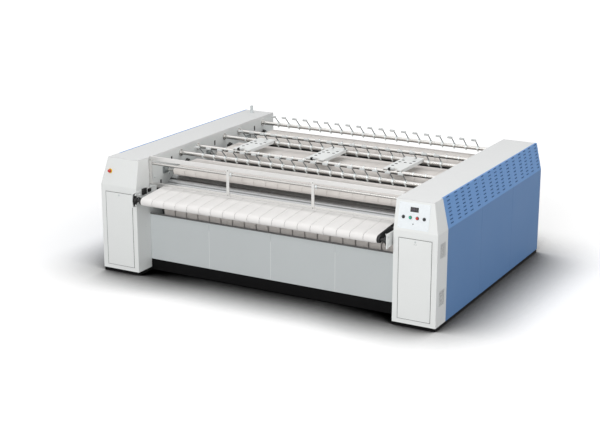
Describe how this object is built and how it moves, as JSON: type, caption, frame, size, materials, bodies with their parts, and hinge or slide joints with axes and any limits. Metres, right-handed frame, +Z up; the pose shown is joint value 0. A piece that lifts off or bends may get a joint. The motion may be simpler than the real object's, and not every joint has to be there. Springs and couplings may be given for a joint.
{
  "type": "flatwork ironer",
  "caption": "Industrial flatwork ironer with heated rolls, felt belts, a feed table with a finger guard, guide rods and a cabinet with a door and controls at each end.",
  "frame": {"origin": "on the floor, in the middle of the machine's whole footprint, feed nose included", "axes": "+X along the rolls towards the drive cabinet (right, seen by the operator), +Y the way the linen travels, +Z up"},
  "size_m": [4.56, 3.5004, 1.577],
  "materials": {
    "white_paint": "satin paint",
    "cover_paint": "satin paint",
    "wall_paint": "satin paint",
    "apron_paint": "satin paint",
    "blue_paint": "satin paint",
    "polished_steel": "polished",
    "bright_steel": "bright drawn",
    "zinc_plate": "zinc plated",
    "cast_black": "black paint",
    "felt_belt": "needled felt",
    "white_belt": "woven, smooth",
    "panel_plate": "satin",
    "black_plastic": "satin",
    "green_plastic": "gloss",
    "red_plastic": "gloss",
    "motor_grey": "semi-gloss paint"
  },
  "bodies": {
    "frame": {"main_frame": "wall_paint", "left_rear_panel": "wall_paint", "right_rear_panel": "wall_paint", "left_front_column": "white_paint", "right_front_column": "white_paint", "beacon_stub": "white_paint", "left_feed_bracket": "zinc_plate", "right_feed_bracket": "zinc_plate", "tie_plate_1": "zinc_plate", "tie_plate_2": "zinc_plate", "tie_plate_3": "zinc_plate", "left_side_panel_1": "blue_paint", "left_side_panel_2": "blue_paint", "left_side_panel_3": "blue_paint", "right_side_panel_1": "blue_paint", "right_side_panel_2": "blue_paint", "right_side_panel_3": "blue_paint", "left_top_cover": "cover_paint", "right_top_cover": "cover_paint", "apron_panel_1": "apron_paint", "apron_panel_2": "apron_paint", "apron_panel_3": "apron_paint", "apron_panel_4": "apron_paint", "rear_apron": "apron_paint", "comb_rod_1": "bright_steel", "comb_rod_2": "bright_steel", "comb_rod_3": "bright_steel", "plain_rod_1": "bright_steel", "plain_rod_2": "bright_steel", "upper_belt_1": "felt_belt", "upper_belt_2": "felt_belt", "upper_belt_3": "felt_belt", "lower_belt": "felt_belt", "feed_belt": "white_belt", "left_feed_bearing": "cast_black", "right_feed_bearing": "cast_black", "drive_chain": "cast_black", "control_plate": "panel_plate", "gear_motor": "motor_grey"},
    "heated_roll_1": {"heated_roll_1": "polished_steel"},
    "heated_roll_2": {"heated_roll_2": "polished_steel"},
    "heated_roll_3": {"heated_roll_3": "polished_steel"},
    "belt_roller_front_1": {"belt_roller_front_1": "bright_steel"},
    "belt_roller_rear_1": {"belt_roller_rear_1": "bright_steel"},
    "belt_roller_front_2": {"belt_roller_front_2": "bright_steel"},
    "belt_roller_rear_2": {"belt_roller_rear_2": "bright_steel"},
    "belt_roller_front_3": {"belt_roller_front_3": "bright_steel"},
    "belt_roller_rear_3": {"belt_roller_rear_3": "bright_steel"},
    "feed_nose_roller": {"feed_nose_roller": "cast_black"},
    "feed_rear_roller": {"feed_rear_roller": "bright_steel"},
    "finger_guard": {"finger_guard": "bright_steel"},
    "left_door": {"left_door": "white_paint"},
    "left_door_lock": {"left_door_lock": "zinc_plate"},
    "right_door": {"right_door": "white_paint"},
    "right_door_lock": {"right_door_lock": "zinc_plate"},
    "mode_switch": {"mode_switch": "black_plastic"},
    "start_button": {"start_button": "green_plastic"},
    "stop_button": {"stop_button": "red_plastic"},
    "jog_button": {"jog_button": "black_plastic"},
    "emergency_stop_button": {"emergency_stop_button": "red_plastic"}
  },
  "joints": [
    {"name": "heated_roll_1_turn", "type": "hinge", "parent": "frame", "child": "heated_roll_1", "pos_m": [0, -0.8048, 0.8007], "axis": [-1, 0, 0], "continuous": true},
    {"name": "heated_roll_2_turn", "type": "hinge", "parent": "frame", "child": "heated_roll_2", "pos_m": [0, 0.2052, 0.8007], "axis": [-1, 0, 0], "continuous": true},
    {"name": "heated_roll_3_turn", "type": "hinge", "parent": "frame", "child": "heated_roll_3", "pos_m": [0, 1.2152, 0.8007], "axis": [-1, 0, 0], "continuous": true},
    {"name": "belt_roller_front_1_turn", "type": "hinge", "parent": "frame", "child": "belt_roller_front_1", "pos_m": [0, -0.9758, 1.238], "axis": [-1, 0, 0], "continuous": true},
    {"name": "belt_roller_rear_1_turn", "type": "hinge", "parent": "frame", "child": "belt_roller_rear_1", "pos_m": [0, -0.4898, 1.238], "axis": [-1, 0, 0], "continuous": true},
    {"name": "belt_roller_front_2_turn", "type": "hinge", "parent": "frame", "child": "belt_roller_front_2", "pos_m": [0, 0.0342, 1.238], "axis": [-1, 0, 0], "continuous": true},
    {"name": "belt_roller_rear_2_turn", "type": "hinge", "parent": "frame", "child": "belt_roller_rear_2", "pos_m": [0, 0.5532, 1.238], "axis": [-1, 0, 0], "continuous": true},
    {"name": "belt_roller_front_3_turn", "type": "hinge", "parent": "frame", "child": "belt_roller_front_3", "pos_m": [0, 1.0442, 1.238], "axis": [-1, 0, 0], "continuous": true},
    {"name": "belt_roller_rear_3_turn", "type": "hinge", "parent": "frame", "child": "belt_roller_rear_3", "pos_m": [0, 1.4652, 1.238], "axis": [-1, 0, 0], "continuous": true},
    {"name": "feed_nose_roller_turn", "type": "hinge", "parent": "frame", "child": "feed_nose_roller", "pos_m": [0, -1.69784, 1.00969], "axis": [-1, 0, 0], "continuous": true},
    {"name": "feed_rear_roller_turn", "type": "hinge", "parent": "frame", "child": "feed_rear_roller", "pos_m": [0, -1.18284, 1.05569], "axis": [-1, 0, 0], "continuous": true},
    {"name": "finger_guard_swing", "type": "hinge", "parent": "frame", "child": "finger_guard", "pos_m": [0, -1.3178, 1.39299], "axis": [1, 0, 0], "range_deg": [0, 12]},
    {"name": "left_door_swing", "type": "hinge", "parent": "frame", "child": "left_door", "pos_m": [-2.212, -1.6158, 0.5675], "axis": [0, 0, -1], "range_deg": [0, 110]},
    {"name": "left_door_lock_turn", "type": "hinge", "parent": "left_door", "child": "left_door_lock", "pos_m": [-2.011, -1.6158, 1.011], "axis": [0, -1, 0], "range_deg": [0, 90]},
    {"name": "right_door_swing", "type": "hinge", "parent": "frame", "child": "right_door", "pos_m": [2.212, -1.6158, 0.5675], "axis": [0, 0, 1], "range_deg": [0, 110]},
    {"name": "right_door_lock_turn", "type": "hinge", "parent": "right_door", "child": "right_door_lock", "pos_m": [2.011, -1.6158, 1.011], "axis": [0, 1, 0], "range_deg": [0, 90]},
    {"name": "mode_switch_turn", "type": "hinge", "parent": "frame", "child": "mode_switch", "pos_m": [1.85075, -1.58691, 1.2783], "axis": [0, -0.9827, 0.1851], "range_deg": [-45, 45]},
    {"name": "start_button_press", "type": "slide", "parent": "frame", "child": "start_button", "axis": [0, 0.9827, -0.1851], "range_m": [0, 0.004], "stiffness_N_per_m": 400},
    {"name": "stop_button_press", "type": "slide", "parent": "frame", "child": "stop_button", "axis": [0, 0.9827, -0.1851], "range_m": [0, 0.004], "stiffness_N_per_m": 400},
    {"name": "jog_button_press", "type": "slide", "parent": "frame", "child": "jog_button", "axis": [0, 0.9827, -0.1851], "range_m": [0, 0.004], "stiffness_N_per_m": 400},
    {"name": "emergency_stop_press", "type": "slide", "parent": "frame", "child": "emergency_stop_button", "axis": [0, 0.9827, -0.1851], "range_m": [0, 0.006], "stiffness_N_per_m": 1500}
  ],
  "couplings": [
    {"joint": "heated_roll_2_turn", "follows": "heated_roll_1_turn", "ratio": 1},
    {"joint": "heated_roll_3_turn", "follows": "heated_roll_1_turn", "ratio": 1},
    {"joint": "belt_roller_front_1_turn", "follows": "heated_roll_1_turn", "ratio": -7.8571},
    {"joint": "belt_roller_rear_1_turn", "follows": "heated_roll_1_turn", "ratio": -7.8571},
    {"joint": "belt_roller_front_2_turn", "follows": "heated_roll_1_turn", "ratio": -7.8571},
    {"joint": "belt_roller_rear_2_turn", "follows": "heated_roll_1_turn", "ratio": -7.8571},
    {"joint": "belt_roller_front_3_turn", "follows": "heated_roll_1_turn", "ratio": -7.8571},
    {"joint": "belt_roller_rear_3_turn", "follows": "heated_roll_1_turn", "ratio": -7.8571},
    {"joint": "feed_nose_roller_turn", "follows": "heated_roll_1_turn", "ratio": 8.1915},
    {"joint": "feed_rear_roller_turn", "follows": "heated_roll_1_turn", "ratio": 8.1915}
  ]
}
